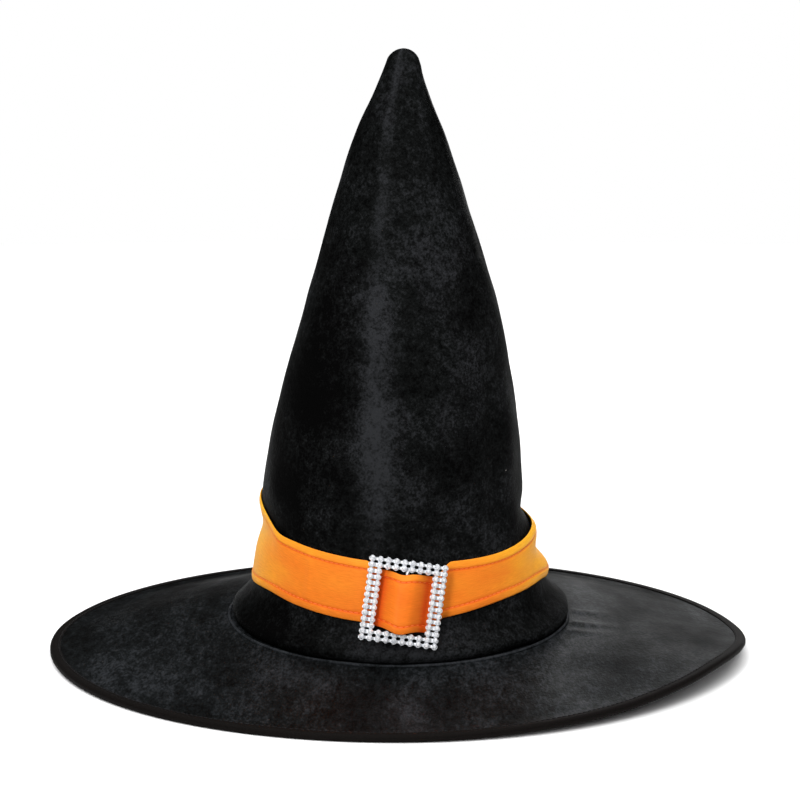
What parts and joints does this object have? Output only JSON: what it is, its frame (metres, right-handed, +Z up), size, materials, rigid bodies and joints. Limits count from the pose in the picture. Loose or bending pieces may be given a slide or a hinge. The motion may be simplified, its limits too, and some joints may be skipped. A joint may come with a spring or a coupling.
{
  "type": "witch hat",
  "caption": "Witch hat with a wide stiff round brim, a tall rounded cone, a satin band and a rectangular rhinestone buckle that slides and rocks on the band.",
  "frame": {"origin": "centre of the circle that the brim's edge makes on the table, which is the bottom centre of the bounding box", "axes": "+Z up through the crown, -Y is the wearer's front with the buckle, +X is to the viewer's right"},
  "size_m": [0.4, 0.4, 0.3402],
  "materials": {
    "velvet": "black crushed velvet with a short mottled pile",
    "interlining": "stiff matte non-woven",
    "lining": "smooth black polyester lining",
    "stiffener": "pressed felt board, matte",
    "binding": "black satin bias tape",
    "boning": "spring wire",
    "ribbon": "black grosgrain, ribbed",
    "satin": "orange polyester satin",
    "thread_black": "matte sewing thread",
    "thread_orange": "matte sewing thread",
    "silver": "bright silver plate",
    "rhinestone": "faceted clear crystal"
  },
  "bodies": {
    "hat": {"crown_shell": "velvet", "crown_interlining": "interlining", "crown_lining": "lining", "seam_welt": "velvet", "brim_cover": "velvet", "brim_board": "stiffener", "brim_underside": "velvet", "brim_wire": "boning", "brim_binding": "binding", "binding_stitch": "thread_black", "sweatband": "ribbon", "opening_stitch": "thread_black", "hat_band": "satin", "band_stitch_lower": "thread_orange", "band_stitch_upper": "thread_orange", "band_join": "satin", "band_join_stitch": "thread_orange"},
    "slider": {"band_loop": "satin", "loop_stitch": "thread_orange"},
    "buckle": {"buckle_frame": "silver", "buckle_bar": "silver", "outer_settings": "silver", "inner_settings": "silver", "outer_stones": "rhinestone", "inner_stones": "rhinestone"}
  },
  "joints": [
    {"name": "buckle_slide", "type": "hinge", "parent": "hat", "child": "slider", "pos_m": [0, 0, 0.019], "axis": [0, -0.0698, 0.9976], "range_deg": [-20, 20]},
    {"name": "buckle_rock", "type": "hinge", "parent": "slider", "child": "buckle", "pos_m": [0.00307, -0.09004, 0.04619], "axis": [0.1414, 0.219, 0.9654], "range_deg": [-5, 5]}
  ]
}
